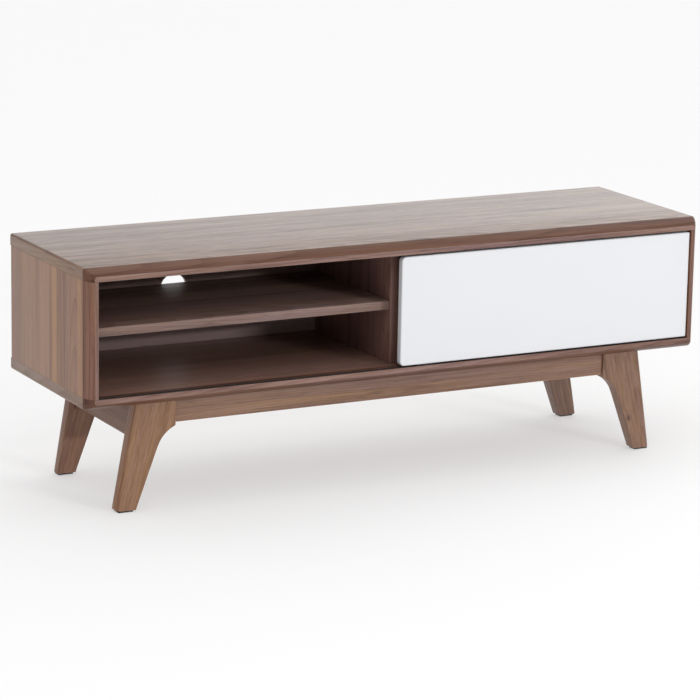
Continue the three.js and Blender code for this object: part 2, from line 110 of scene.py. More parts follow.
APRON_ROUND = 1.2 * MM
RAIL_FILLET = 9 * MM
RAIL_FILLET_FLAT = 1 * MM
RAIL_ROUND = 1.2 * MM

TRACK_SLOT = 6 * MM
TRACK_BASE = 2 * MM
TRACK_LIP = 0.5 * MM
GLIDE_ROUND = 1.2 * MM
BLOCK_ARRIS = 1 * MM

PANEL_SCREW_HEAD_HEIGHT = 1.8 * MM
PANEL_SCREW_SHANK_RADIUS = 1.5 * MM
FRAME_SCREW_HEAD_HEIGHT = 2.8 * MM
FRAME_SCREW_SHANK_RADIUS = 2.5 * MM

# ---------- Camera ----------
CAMERA_PLACE = (-3.0599, -5.7302, 1.7736)
# Angles in radians: how far it looks to the right of +Y, how far down, and how far it leans.
CAMERA_YAW = 0.487
CAMERA_PITCH = 0.232
CAMERA_ROLL = 0.019
CAMERA_LENS = 164.97

# ---------- Light ----------
HORIZON_LIGHT = 0.1
ZENITH_LIGHT = 1.25
# A glow low behind the cabinet and to its right: its strength, direction, how wide it is as a cosine, and
# between which heights it fades out.
REAR_GLOW = 2.7
REAR_GLOW_SIDE = (0.87, 0.50, 0.0)
REAR_GLOW_EDGE = 0.5
REAR_GLOW_FADE = (0.1, 0.75)
FLOOR_HALF_SIZE = 60
FLOOR_ALBEDO = 0.52
FLOOR_GLOW = 0.42
BACKDROP_RADIUS = 50
BACKDROP_HEIGHT = 60
BACKDROP_SIDES = 64
BACKDROP_GLOW = 0.95
# Place, aim, width and height, and power in watts.
SOFTBOXES = dict(
    upper_front_softbox=((-1.0, -3.2, 3.4), (0, 0, 0.3), (3.0, 3.0), 14),
    right_softbox=((2.4, -6.0, 2.025), (0, 0, 0.32), (1.2, 0.15), 106),
    left_softbox=((-4.2, -0.6, 1.6), (0, 0, 0.3), (2.5, 2.0), 6),
)


# ---------- Mesh helpers ----------
# Faces that meet at less than these angles are shaded as one, in degrees.
SMOOTH_BELOW = 32
ROUND_SMOOTH_BELOW = 40
LEG_SMOOTH_BELOW = 28

OVERSHOOT = 10 * MM
CUTTER_ROUND = 0.02 * MM


def new_piece(name, points, faces, smooth_below=SMOOTH_BELOW):
    mesh = bpy.data.meshes.new(name)
    mesh.from_pydata([tuple(p) for p in points], [], faces)
    mesh.validate()
    finish_mesh(mesh, smooth_below)
    piece = bpy.data.objects.new(name, mesh)
    bpy.context.scene.collection.objects.link(piece)
    return piece


def finish_mesh(mesh, smooth_below):
    """Outward faces, smooth shading, and sharp edges where two faces meet at more than the angle."""
    shape = bmesh.new()
    shape.from_mesh(mesh)
    bmesh.ops.recalc_face_normals(shape, faces=shape.faces)
    shape.to_mesh(mesh)
    shape.free()
    mesh.shade_smooth()
    mesh.set_sharp_from_angle(angle=math.radians(smooth_below))


def loft(name, rings, smooth_below=SMOOTH_BELOW):
    """A closed solid through rings of the same number of points, with a flat cap at each end."""
    count = len(rings[0])
    points = [point for ring in rings for point in ring]
    faces = []
    for ring in range(len(rings) - 1):
        for side in range(count):
            a = ring * count + side
            b = ring * count + (side + 1) % count
            faces.append((a, b, b + count, a + count))
    last = (len(rings) - 1) * count
    faces.append(tuple(reversed(range(count))))
    faces.append(tuple(range(last, last + count)))
    return new_piece(name, points, faces, smooth_below)


def rounded_box(name, low, high, radius, segments=3):
    shape = bmesh.new()
    bmesh.ops.create_cube(shape, size=1)
    middle, size = (Vector(low) + Vector(high)) / 2, Vector(high) - Vector(low)
    for vertex in shape.verts:
        vertex.co = middle + Vector(a * b for a, b in zip(vertex.co, size))
    bmesh.ops.bevel(
        shape, geom=shape.edges[:], offset=radius, segments=segments, profile=0.5, affect="EDGES",
        clamp_overlap=True,
    )
    mesh = bpy.data.meshes.new(name)
    shape.to_mesh(mesh)
    shape.free()
    finish_mesh(mesh, ROUND_SMOOTH_BELOW)
    piece = bpy.data.objects.new(name, mesh)
    bpy.context.scene.collection.objects.link(piece)
    return piece


def lathe(name, profile, sides=28):
    """A solid turned about Z. The profile's first and last points lie on the axis."""
    points = [(0, 0, profile[0][1])]
    for radius, height in profile[1:-1]:
        for side in range(sides):
            angle = 2 * math.pi * side / sides
            points.append((radius * math.cos(angle), radius * math.sin(angle), height))
    points.append((0, 0, profile[-1][1]))
    faces = []
    rings = len(profile) - 2
    for side in range(sides):
        following = (side + 1) % sides
        faces.append((0, 1 + following, 1 + side))
        for ring in range(rings - 1):
            a, b = 1 + ring * sides + side, 1 + ring * sides + following
            faces.append((a, b, b + sides, a + sides))
        top = 1 + (rings - 1) * sides
        faces.append((top + side, top + following, len(points) - 1))
    return new_piece(name, points, faces, ROUND_SMOOTH_BELOW)


def cut(piece, cutters, smooth_below=SMOOTH_BELOW):
    """Takes the cutters out of the piece and deletes them."""
    for cutter in cutters:
        modifier = piece.modifiers.new("cut", "BOOLEAN")
        modifier.operation = "DIFFERENCE"
        modifier.solver = "EXACT"
        modifier.object = cutter
    shown = piece.evaluated_get(bpy.context.evaluated_depsgraph_get())
    result = bpy.data.meshes.new_from_object(shown)
    piece.modifiers.clear()
    piece.data = result
    result.shade_smooth()
    result.set_sharp_from_angle(angle=math.radians(smooth_below))
    for cutter in cutters:
        bpy.data.objects.remove(cutter)
    return piece


def box_cutter(low, high):
    return rounded_box("cutter", low, high, CUTTER_ROUND, 1)


def rod_cutter(radius, start, end, sides=32):
    start, end = Vector(start), Vector(end)
    turn = (end - start).to_track_quat("Z", "Y")
    length = (end - start).length
    rings = []
    for height in (0, length):
        ring = []
        for side in range(sides):
            angle = 2 * math.pi * side / sides
            spoke = Vector((radius * math.cos(angle), radius * math.sin(angle), height))
            ring.append(start + turn @ spoke)
        rings.append(ring)
    return loft("cutter", rings)


def arc(centre, radius, start, end, steps):
    """Points on an arc in a plane, angles in degrees."""
    points = []
    for step in range(steps + 1):
        angle = math.radians(start + (end - start) * step / steps)
        points.append((centre[0] + radius * math.cos(angle), centre[1] + radius * math.sin(angle)))
    return points


def rounded_rectangle(low, high, radii, steps=8):
    """A closed outline with round corners, from its upper right corner round to the lower right one."""
    points = []
    for corner, radius in enumerate(radii):
        right, upper = corner in (0, 3), corner in (0, 1)
        x = high[0] - radius if right else low[0] + radius
        z = high[1] - radius if upper else low[1] + radius
        points += arc((x, z), radius, 90 * corner, 90 * corner + 90, steps)
    return points


def mark_faces(piece, direction, look, reach=0.8):
    """Gives the faces that look along a direction, and have no number yet, a material of their own."""
    for face in piece.data.polygons:
        if face.normal.dot(Vector(direction)) > reach and face.material_index == 0:
            face.material_index = look


# ---------- Node trees ----------
class Tree:
    """The node tree of a material or the world. An input is a socket or a plain value."""

    def __init__(self, holder, shader="Principled BSDF"):
        holder.use_nodes = True
        self.holder = holder
        self.nodes = holder.node_tree.nodes
        self.links = holder.node_tree.links
        self.shader = self.nodes[shader]

    def put(self, socket, value):
        if isinstance(value, bpy.types.NodeSocket):
            self.links.new(value, socket)
        else:
            socket.default_value = value

    def node(self, kind, inputs=(), **settings):
        made = self.nodes.new(kind)
        for key, value in settings.items():
            setattr(made, key, value)
        for key, value in dict(inputs).items():
            self.put(made.inputs[key], value)
        return made

    def math(self, operation, first, second=0.0, third=0.0):
        made = self.node("ShaderNodeMath", {0: first, 1: second, 2: third}, operation=operation)
        return made.outputs[0]

    def vector(self, operation, first, second):
        made = self.node("ShaderNodeVectorMath", {0: first, 1: second}, operation=operation)
        return made.outputs["Value" if operation == "DOT_PRODUCT" else "Vector"]

    def length(self, x, y):
        """How far the point (x, y) is from the origin."""
        return self.math("SQRT", self.math("MULTIPLY_ADD", x, x, self.math("MULTIPLY", y, y)))

    def combine(self, x, y, z):
        return self.node("ShaderNodeCombineXYZ", {0: x, 1: y, 2: z}).outputs[0]

    def noise(self, place, detail=2.0, roughness=0.5, distortion=0.0):
        inputs = {"Vector": place, "Scale": 1.0, "Detail": detail, "Roughness": roughness}
        inputs["Distortion"] = distortion
        return self.node("ShaderNodeTexNoise", inputs).outputs[0]

    def speckle(self, scale, detail):
        """Noise over the object's own coordinates, with so many features in a metre along each axis."""
        place = self.node("ShaderNodeTexCoord").outputs["Object"]
        return self.noise(self.vector("MULTIPLY", place, scale), detail)

    def random(self, place):
        made = self.node("ShaderNodeTexWhiteNoise", {"Vector": place}, noise_dimensions="3D")
        return made.outputs["Color"]

    def ramp(self, factor, stops):
        made = self.node("ShaderNodeValToRGB", {0: factor})
        elements = made.color_ramp.elements
        while len(elements) < len(stops):
            elements.new(0.5)
        for element, (place, colour) in zip(elements, stops):
            element.position = place
            element.color = (*colour, 1.0)
        return made.outputs[0]

    def spread(self, value, low, high, new_low=0.0, new_high=1.0):
        inputs = {0: value, 1: low, 2: high, 3: new_low, 4: new_high}
        return self.node("ShaderNodeMapRange", inputs, clamp=True).outputs[0]

    def mix(self, factor, first, second, blend="MIX"):
        made = self.node("ShaderNodeMix", data_type="RGBA", blend_type=blend)
        for key, value in ((0, factor), (6, first), (7, second)):
            value = (*value, 1.0) if isinstance(value, tuple) and len(value) == 3 else value
            self.put(made.inputs[key], value)
        return made.outputs[2]

    def bump(self, height, distance, strength=1.0):
        inputs = {"Height": height, "Distance": distance, "Strength": strength}
        self.put(self.shader.inputs["Normal"], self.node("ShaderNodeBump", inputs).outputs[0])

    def split(self, vector):
        return self.node("ShaderNodeSeparateXYZ", {0: vector}).outputs


def material_tree(name):
    return Tree(bpy.data.materials.new(name))


# ---------- Wood ----------
WALNUT = dict(
    dark=(0.107, 0.055, 0.036),
    middle=(0.215, 0.126, 0.084),
    light=(0.323, 0.206, 0.139),
    streak=(0.069, 0.036, 0.028),
    warm=(0.370, 0.232, 0.120),
    cool=(0.258, 0.163, 0.138),
    # The pale colour of painted light: the highlight on the arrises and the lit strip on the back panel.
    painted_light=(0.396, 0.284, 0.206),
)
PALE_WOOD = dict(
    dark=(0.36, 0.24, 0.14),
    middle=(0.52, 0.38, 0.24),
    light=(0.63, 0.49, 0.33),
    streak=(0.34, 0.22, 0.13),
    warm=(0.60, 0.44, 0.26),
    cool=(0.50, 0.40, 0.28),
    # The pale colour of the painted highlight on the arrises.
    painted_light=(0.68, 0.55, 0.38),
)
GRAIN_ANGLES = {
    "x": (0, 0, 0),
    "y": (0, 0, math.radians(-90)),
    "z": (0, math.radians(90), 0),
}
RING_WIDTH = 5.5 * MM
RING_SHARPNESS = 2.2
# The painted highlight on the arrises, where light catches their rounding: how far in it reaches and how
# strongly it pales the wood.
PAINTED_HIGHLIGHT_WIDTH = 1.4 * MM
PAINTED_HIGHLIGHT_SHARE = 0.45
FIBRE_DEPTH = 0.12 * MM

# The pith lies under the board: how far beside its middle and how deep, how much both vary from stave to
# stave, and how steeply it falls along the grain.
PITH_BESIDE = 0.16
PITH_BESIDE_SPREAD = 0.06
PITH_DEPTH = 0.025
PITH_DEPTH_SPREAD = 0.07
PITH_SLOPE = 0.055

# How many features a metre holds, along the grain and across it.
CROWD_SCALE = (0.9, 45.0)
WANDER_SCALE = (1.8, 9.0)
STREAK_SCALE = (1.3, 42.0)
BAND_SCALE = (3.4, 120.0)
HUE_SCALE = (1.9, 65.0)
FLECK_SCALE = (11.0, 130.0)
FIBRE_SCALE = (14.0, 900.0)
TICK_SCALE = (34.0, 330.0)
PORE_SCALE = (55.0, 2200.0)

# How far the rings crowd and the grain wanders, and how far apart in the log two seeds lie.
CROWD_REACH = 2.2
WANDER_REACH = 0.030
SEED_STEP = (1.37, 0.71, 0.43)

# How much each layer lightens the wood, and the tones that become the palette's dark and light.
TONE_WEIGHTS = dict(streaks=0.50, bands=0.58, fibres=0.25, rings=-0.16, lot=0.12)
TONE_MIDDLE = 0.67
TONE_HALF_RANGE = 0.32

# A knot stretches along the grain, pushes the grain aside and has a dark eye.
KNOT_STRETCH = 0.55
KNOT_SWELL_REACH = 3.2
KNOT_SWELL = 0.022
KNOT_EYE_CORE = 0.3


def edge_closeness(tree, place, box):
    """1 on the box's edges, 0 at the painted highlight's width from them and further in."""
    half = tuple((box[1] - box[0]) / 2)
    distance = tree.node("ShaderNodeVectorMath", {0: place}, operation="ABSOLUTE").outputs["Vector"]
    x, y, z = tree.split(tree.vector("SUBTRACT", half, distance))
    pairs = [tree.math("MAXIMUM", a, b) for a, b in ((x, y), (y, z), (z, x))]
    nearest = tree.math("MINIMUM", tree.math("MINIMUM", pairs[0], pairs[1]), pairs[2])
    return tree.spread(nearest, PAINTED_HIGHLIGHT_WIDTH, 0.0)


def growth_rings(tree, u, side, depth, lots, figure):
    """Latewood lines round a pith under the board. A figure of 1 puts it below the middle: arched grain."""
    aside = tree.math("MULTIPLY_ADD", lots[0], PITH_BESIDE_SPREAD, PITH_BESIDE * (1 - figure))
    fall = tree.math("MULTIPLY_ADD", u, PITH_SLOPE, tree.math("MULTIPLY", lots[1], PITH_DEPTH_SPREAD))
    below = tree.math("ADD", tree.math("ADD", depth, fall), PITH_DEPTH)
    reach = tree.length(tree.math("ADD", side, aside), below)
    along, outward = (tree.math("MULTIPLY", a, b) for a, b in zip((u, reach), CROWD_SCALE))
    crowd = tree.noise(tree.combine(along, outward, 0.0), 1.0)
    number = tree.math("MULTIPLY_ADD", crowd, CROWD_REACH, tree.math("DIVIDE", reach, RING_WIDTH))
    return tree.math("POWER", tree.math("FRACT", number), RING_SHARPNESS)


def bend_round_knot(tree, u, side, bent, knot):
    """The bent grain pushed further aside round a knot at (u, across, radius), and the knot's eye."""
    along, across, radius = knot
    ahead = tree.math("MULTIPLY", tree.math("SUBTRACT", u, along), KNOT_STRETCH)
    span = tree.length(ahead, tree.math("SUBTRACT", side, across))
    swell = tree.math("POWER", tree.spread(span, radius * KNOT_SWELL_REACH, 0.0), 2.0)
    bent = tree.math("MULTIPLY_ADD", swell, KNOT_SWELL, bent)
    return bent, tree.spread(span, radius, radius * KNOT_EYE_CORE)


def grain_noise(tree, log, scale, *settings, fineness=1.0, shortness=1.0):
    along, across = scale[0] * shortness, scale[1] * fineness
    return tree.noise(tree.vector("MULTIPLY", log, (along, across, across)), *settings)


def grain_layers(tree, log, fineness, shortness):
    """The figure's noises, from broad streaks down to fibres."""
    stretch = dict(fineness=fineness, shortness=shortness)
    return dict(
        streaks=grain_noise(tree, log, STREAK_SCALE, 4.0, 0.6, 0.3, **stretch),
        bands=grain_noise(tree, log, BAND_SCALE, 4.0, 0.65, **stretch),
        hues=grain_noise(tree, log, HUE_SCALE, 3.0, 0.6, **stretch),
        flecks=grain_noise(tree, log, FLECK_SCALE, 1.0),
        fibres=grain_noise(tree, log, FIBRE_SCALE, 2.0, 0.7),
        ticks=grain_noise(tree, log, TICK_SCALE, 1.0),
    )


def grain_tones(tree, layers, ticking):
    """One number for how light the wood is, from all its layers."""
    tones = tree.math("MULTIPLY", tree.math("SUBTRACT", layers["ticks"], 0.5), ticking)
    for layer, weight in TONE_WEIGHTS.items():
        tones = tree.math("MULTIPLY_ADD", layers[layer], weight, tones)
    return tones


def stave_colour(tree, palette, layers, tones, lot, warmth, contrast):
    """Dark to light by tone, with warmer and cooler staves."""
    half_range = TONE_HALF_RANGE / contrast
    lightness = tree.spread(tones, TONE_MIDDLE - half_range, TONE_MIDDLE + half_range)
    colour = tree.ramp(
        lightness, [(0.0, palette["dark"]), (0.5, palette["middle"]), (1.0, palette["light"])]
    )
    leaning = tree.math("MULTIPLY_ADD", lot, 0.14, layers["hues"])
    colour = tree.mix(tree.spread(leaning, 0.52, 0.82, warmth, warmth + 0.5), colour, palette["warm"])
    return tree.mix(tree.spread(leaning, 0.60, 0.36, 0.0, 0.55), colour, palette["cool"])


def lay_strips(tree, colour, bent, strips, hue):
    """Paler strips that follow the grain, each (middle, half width, share) across the board. The back
    panel's strip is painted light.
    """
    for middle, half_width, share in strips:
        near = tree.math("ABSOLUTE", tree.math("SUBTRACT", bent, middle))
        inside = tree.spread(near, half_width * 1.15, half_width * 0.85)
        colour = tree.mix(tree.math("MULTIPLY", inside, share), colour, hue)
    return colour


def darken(tree, colour, layers, pores, streak, hue):
    """Dark streaks, flecks and pores."""
    broad = tree.spread(layers["streaks"], 0.42, 0.30)
    narrow = tree.spread(layers["flecks"], 0.68, 0.76)
    both = tree.math("MAXIMUM", broad, narrow)
    colour = tree.mix(tree.math("MULTIPLY", both, streak), colour, hue)
    return tree.mix(tree.math("MULTIPLY", pores, 0.40), colour, hue)


def oiled_surface(tree, layers, tones, pores, painted_light, gloss, shine):
    """Roughness, gloss and the fine relief of fibres and pores."""
    roughness = tree.math("MULTIPLY_ADD", layers["bands"], 0.12, gloss - 0.06)
    roughness = tree.math("MULTIPLY_ADD", pores, 0.12, roughness)
    # A little rougher along the edges under the painted highlight.
    roughness = tree.math("MULTIPLY_ADD", painted_light, 0.10, roughness)
    tree.put(tree.shader.inputs["Roughness"], roughness)
    level = tree.spread(tones, 0.45, 0.90, 0.28 * shine, 0.66 * shine)
    tree.put(tree.shader.inputs["Specular IOR Level"], level)
    height = tree.math("MULTIPLY_ADD", layers["fibres"], 0.5, tree.math("MULTIPLY", pores, -0.6))
    tree.bump(height, FIBRE_DEPTH, 0.5)


def wood(name, box, grain="x", seed=0.0, stave=0.062, across="v", warmth=0.15, turn=None, palette=WALNUT,
         gloss=0.40, figure=0.3, contrast=1.0, fineness=1.0, shortness=1.0, streak=0.5, ticking=0.12,
         shine=1.0, tint=(1, 1, 1), strips=(), strip_hue="warm", knot=None):
    """Wood in staves of their own hue, with growth rings, streaks, fibres, pores and a painted highlight
    that pales the edges.

    In the board's own frame u runs along the grain and v and w across it. Staves lie side by side along v,
    or along w where across is "w".
    """
    tree = material_tree(name)
    raw = tree.node("ShaderNodeTexCoord").outputs["Object"]
    place = tree.vector("SUBTRACT", raw, tuple((box[0] + box[1]) / 2))
    angles = turn or GRAIN_ANGLES[grain]
    turned = tree.node("ShaderNodeMapping", {"Vector": place, "Rotation": angles}).outputs[0]
    u, v, w = tree.split(turned)
    side, depth = (v, w) if across == "v" else (w, v)

    # Each stave has three numbers of its own, which also pick its place in the log.
    stave_number = tree.math("FLOOR", tree.math("DIVIDE", side, stave))
    lot = tree.random(tree.combine(stave_number, seed + 0.5, 0.5))
    lots = tree.node("ShaderNodeSeparateColor", {0: lot}).outputs
    shift = tree.vector("ADD", lot, tuple(seed * step for step in SEED_STEP))
    log = tree.vector("ADD", turned, shift)
    wander = grain_noise(tree, log, WANDER_SCALE, 1.5)
    bent = tree.math("MULTIPLY_ADD", tree.math("SUBTRACT", wander, 0.5), WANDER_REACH, side)
    if knot:
        bent, eye = bend_round_knot(tree, u, side, bent, knot)

    layers = grain_layers(tree, log, fineness, shortness)
    layers["rings"] = growth_rings(tree, u, bent, depth, lots, figure)
    layers["lot"] = lots[2]
    tones = grain_tones(tree, layers, ticking)
    pores = tree.spread(grain_noise(tree, log, PORE_SCALE, 1.0), 0.62, 0.74)

    colour = stave_colour(tree, palette, layers, tones, lots[0], warmth, contrast)
    colour = lay_strips(tree, colour, bent, strips, palette[strip_hue])
    colour = darken(tree, colour, layers, pores, streak, palette["streak"])
    if knot:
        colour = tree.mix(tree.math("MULTIPLY", eye, 0.75), colour, palette["streak"])
    # Painted highlight: the wood is paled along the edges where light catches the rounded arrises, and the
    # same mask makes them a little rougher.
    painted_light = tree.math("MULTIPLY", edge_closeness(tree, place, box), tree.spread(layers["bands"], 0.30, 0.65))
    colour = tree.mix(tree.math("MULTIPLY", painted_light, PAINTED_HIGHLIGHT_SHARE), colour, palette["painted_light"])
    colour = tree.mix(1.0, colour, tint, "MULTIPLY")
    tree.put(tree.shader.inputs["Base Color"], colour)
    oiled_surface(tree, layers, tones, pores, painted_light, gloss, shine)
    return tree.holder


# ---------- How each piece of wood looks ----------
NOSE_GRAIN = dict(across="w", stave=0.6, figure=0.8, warmth=0.05)
# The noses' dark tints are partly the wood's darker edge and partly painted shade; the level nose, which
# faces up into the dim front of the studio, is darkened most.
LEVEL_NOSE_LOOK = dict(seed=3.1, tint=(0.46, 0.30, 0.24), contrast=1.7, shine=0.6, **NOSE_GRAIN)
UPRIGHT_NOSE_LOOK = dict(seed=4.3, tint=(0.79, 0.57, 0.51), contrast=1.9, shine=0.8, **NOSE_GRAIN)
LEVEL_LIP_LOOK = dict(seed=7.7, tint=(0.87, 0.81, 1.04), contrast=1.9, shine=0.7, **NOSE_GRAIN)
UPRIGHT_LIP_LOOK = dict(seed=8.1, tint=(0.78, 0.72, 0.85), contrast=2.4, shine=0.7, **NOSE_GRAIN)
BOARD_END_LOOK = dict(seed=6.2, stave=0.6, across="w", warmth=0.1, tint=(0.86, 0.84, 0.86))

# The top's cool grey tint is painted reflection: the whitish sheen of the studio that lies over its face.
TOP_LOOK = dict(
    seed=2.0, stave=0.09, contrast=3.8, fineness=1.2, shortness=2.0, streak=0.9, ticking=0.25,
    tint=(0.75, 0.81, 1.01),
)
# The bottom board's cool tint is painted shade: the cool tone of shade on the niche floor.
BOTTOM_LOOK = dict(seed=0.0, stave=0.09, contrast=1.5, tint=(0.92, 0.86, 1.05))
SIDE_GRAIN = dict(stave=0.048, tint=(1.01, 0.83, 0.75), contrast=1.3, streak=0.3, fineness=1.3)
LEFT_SIDE_LOOK = dict(seed=4.0, strips=[(-0.026, 0.013, 0.9), (-0.150, 0.010, 0.6)], **SIDE_GRAIN)
RIGHT_SIDE_LOOK = dict(seed=6.0, strips=[(0.080, 0.020, 0.4)], **SIDE_GRAIN)

# The divider, shelf and back panel are tinted cool and dark as painted shade: the tone of the shaded
# niches.
DIVIDER_LOOK = dict(seed=7.0, contrast=1.3, tint=(0.84, 0.74, 0.98))
SHELF_LOOK = dict(seed=9.0, tint=(0.86, 0.90, 1.20), contrast=1.5, gloss=0.58, shine=0.6)
PANEL_GRAIN = dict(stave=0.12, across="w", contrast=1.6)
# The back panel's paler strip low in the lower niche is a painted pool of light, where light from the front
# reaches in under the shelf.
PANEL_LOOK = dict(
    seed=8.0, tint=(0.93, 0.95, 1.25), strips=[(-0.108, 0.024, 0.85)], strip_hue="painted_light", **PANEL_GRAIN
)
PANEL_REAR_LOOK = dict(seed=8.6, tint=(0.86, 0.82, 0.86), gloss=0.5, **PANEL_GRAIN)

LEG_GRAIN_LEAN = 14
LEG_GRAIN = dict(
    stave=0.5, across="w", warmth=0.28, contrast=1.2, fineness=1.8, shortness=2.0, streak=0.3, ticking=0.5
)
# The rear legs' darker, cooler tints are painted shade under the carcass.
LEG_LOOKS = dict(
    front_left_leg=dict(seed=10.0, figure=0.4, tint=(0.96, 0.81, 0.67)),
    front_right_leg=dict(seed=12.0, figure=0.9, tint=(0.85, 0.75, 0.73), knot=(-0.040, 0.004, 0.006)),
    rear_left_leg=dict(seed=13.0, figure=0.4, tint=(0.83, 0.67, 0.63)),
    rear_right_leg=dict(seed=15.0, figure=0.4, tint=(0.64, 0.58, 0.68)),
)
# Painted shade: the front left leg's left faces get a darker, redder copy of its wood, as they stand in
# shade.
FRONT_LEFT_LEG_SHADED_SIDE_TINT = (0.86, 0.60, 0.38)

FRAME_GRAIN = dict(stave=0.6, across="w", contrast=1.35, streak=0.4)
APRON_LOOK = dict(tint=(0.98, 0.90, 0.96), **FRAME_GRAIN)
# The rails' dark tint is painted shade under the carcass.
RAIL_LOOK = dict(tint=(0.58, 0.43, 0.36), shine=0.7, **FRAME_GRAIN)
CORNER_BLOCK_LOOK = dict(seed=31.0, palette=PALE_WOOD, gloss=0.62)


# ---------- Other materials ----------
def white_lacquer():
    tree = material_tree("white_lacquer")
    cloud = tree.speckle((6.0, 6.0, 6.0), 3.0)
    peel = tree.speckle((420.0, 420.0, 420.0), 2.0)
    colour = tree.ramp(cloud, [(0.3, (0.772, 0.779, 0.802)), (0.7, (0.778, 0.785, 0.808))])
    tree.put(tree.shader.inputs["Base Color"], colour)
    tree.put(tree.shader.inputs["Roughness"], tree.math("MULTIPLY_ADD", cloud, 0.06, 0.50))
    tree.shader.inputs["Specular IOR Level"].default_value = 0.35
    tree.bump(peel, 0.01 * MM, 0.3)
    return tree.holder


def moulded_plastic(name, dark, light, roughness):
    tree = material_tree(name)
    cloud = tree.speckle((90.0, 90.0, 90.0), 3.0)
    texture = tree.speckle((1800.0, 1800.0, 1800.0), 2.0)
    tree.put(tree.shader.inputs["Base Color"], tree.ramp(cloud, [(0.3, dark), (0.7, light)]))
    tree.put(tree.shader.inputs["Roughness"], tree.math("MULTIPLY_ADD", texture, 0.25, roughness - 0.12))
    tree.bump(texture, 0.06 * MM, 0.5)
    return tree.holder


def zinc_steel():
    tree = material_tree("zinc_steel")
    cloud = tree.speckle((260.0, 260.0, 260.0), 3.0)
    scratches = tree.speckle((900.0, 5200.0, 5200.0), 2.0)
    colour = tree.ramp(cloud, [(0.3, (0.50, 0.50, 0.49)), (0.7, (0.66, 0.66, 0.65))])
    tree.put(tree.shader.inputs["Base Color"], colour)
    tree.shader.inputs["Metallic"].default_value = 1.0
    tree.put(tree.shader.inputs["Roughness"], tree.math("MULTIPLY_ADD", scratches, 0.28, 0.20))
    tree.bump(scratches, 0.02 * MM, 0.5)
    return tree.holder


# ---------- Putting pieces in place of CAD nodes ----------
BODY_OF = {node: body for body, nodes in frame["record"]["behaviour"]["bodies"].items() for node in nodes}
SLOT_OF = {part["node"]: part["material_slot"] for part in frame["record"]["subparts"]}


def stand_for(piece, node, *materials):
    """The piece takes the CAD node's place and gets its materials, keeping the faces' material numbers."""
    piece.name = "fine_" + node
    piece.data.name = piece.name
    numbers = [face.material_index for face in piece.data.polygons]
    piece.data.materials.clear()
    for material in materials:
        piece.data.materials.append(material)
    piece.data.polygons.foreach_set("material_index", [min(n, len(materials) - 1) for n in numbers])
    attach(piece, BODY_OF[node])
    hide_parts(node)
    return piece


# ---------- Carcass ----------
TOP_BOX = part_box("top_board")
BOTTOM_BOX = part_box("bottom_board")
SIDE_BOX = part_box("left_side_board")
DOOR_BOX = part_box("sliding_door")
PANEL_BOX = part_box("back_panel")
END_X = cad_box[1].x
INNER_X = -SIDE_BOX[1].x
CEILING = TOP_BOX[0].z
FLOOR = BOTTOM_BOX[1].z
CARCASS_BOTTOM = BOTTOM_BOX[0].z
CARCASS_TOP = TOP_BOX[1].z
PANEL_FRONT = PANEL_BOX[0].y - GAP
DOOR_MIDDLE_Y = (DOOR_BOX[0].y + DOOR_BOX[1].y) / 2

# The materials of a carcass board's faces. Only the level boards have faces of the last kind.
BOARD_FACE, NOSE_FACE, LIP_FACE, END_FACE = range(4)
LIP_ROUND_STEPS = 4
REAR_ROUND_STEPS = 3
CORNER_STEPS = 6


def nose_curve(angle):
    """A quarter of a superellipse: how far back and how far in it is at an angle, as shares."""
    power = 2 / NOSE_FULLNESS
    return 1 - max(0.0, math.cos(angle)) ** power, 1 - math.sin(angle) ** power


def nose_rings(rear):
    """(y behind the front, outer inset, inner inset, face) from the flat lip back over the nose."""
    rings = []
    for step in range(LIP_ROUND_STEPS + 1):
        angle = math.radians(90 * step / LIP_ROUND_STEPS)
        outer = NOSE_INSET + LIP_ROUND * (1 - math.sin(angle))
        inner = BOARD_ROUND * (1 - math.sin(angle))
        rings.append((LIP_ROUND * (1 - math.cos(angle)), outer, inner, BOARD_FACE))
    rings.append((LIP_STEP, NOSE_INSET, 0, NOSE_FACE))
    for step in range(NOSE_STEPS + 1):
        back, inset = nose_curve(math.radians(90 * step / NOSE_STEPS))
        y = LIP_STEP + (NOSE_DEPTH - LIP_STEP) * back
        rings.append((y, (NOSE_INSET - LIP_QUIRK) * inset, 0, NOSE_FACE))
    length = rear - FRONT
    for step in range(REAR_ROUND_STEPS + 1):
        angle = math.radians(90 * step / REAR_ROUND_STEPS)
        outer = BOARD_ROUND * (1 - math.cos(angle))
        rings.append((length - BOARD_ROUND * (1 - math.sin(angle)), outer, 0, BOARD_FACE))
    return rings


def level_outline(inset, inner, upper):
    """The top or bottom board's outline at one ring. The bottom board's is the top board's upside down."""
    inner_z = CEILING + inner if upper else FLOOR - inner
    outer_z = CARCASS_TOP - inset if upper else CARCASS_BOTTOM + inset
    flip = 1 if upper else -1
    edge = END_X - inset
    corner_z = outer_z - flip * CORNER_RADIUS
    corner = arc((edge - CORNER_RADIUS, 0), CORNER_RADIUS, 0, 90, CORNER_STEPS)
    right = [(x, corner_z + flip * rise) for x, rise in corner]
    left = [(-x, z) for x, z in reversed(right)]
    return [(edge, inner_z), *right, *left, (-edge, inner_z)]


def side_outline(inset, inner, side):
    outer_x, inner_x = side * (END_X - inset), side * (INNER_X + inner)
    low, high = FLOOR + GAP, CEILING - GAP
    return [(inner_x, low), (outer_x, low), (outer_x, high), (inner_x, high)]


def carcass_board(name, outline, rear):
    rings = nose_rings(rear)
    points = [[(x, FRONT + y, z) for x, z in outline(inset, inner)] for y, inset, inner, _ in rings]
    board = loft(name, points)
    mark_faces(board, (0, -1, 0), LIP_FACE, 0.99)
    count = len(points[0])
    for band, (ring, following) in enumerate(zip(rings, rings[1:])):
        if ring[3] == following[3] == NOSE_FACE:
            for side in range(count):
                board.data.polygons[band * count + side].material_index = NOSE_FACE
    return board


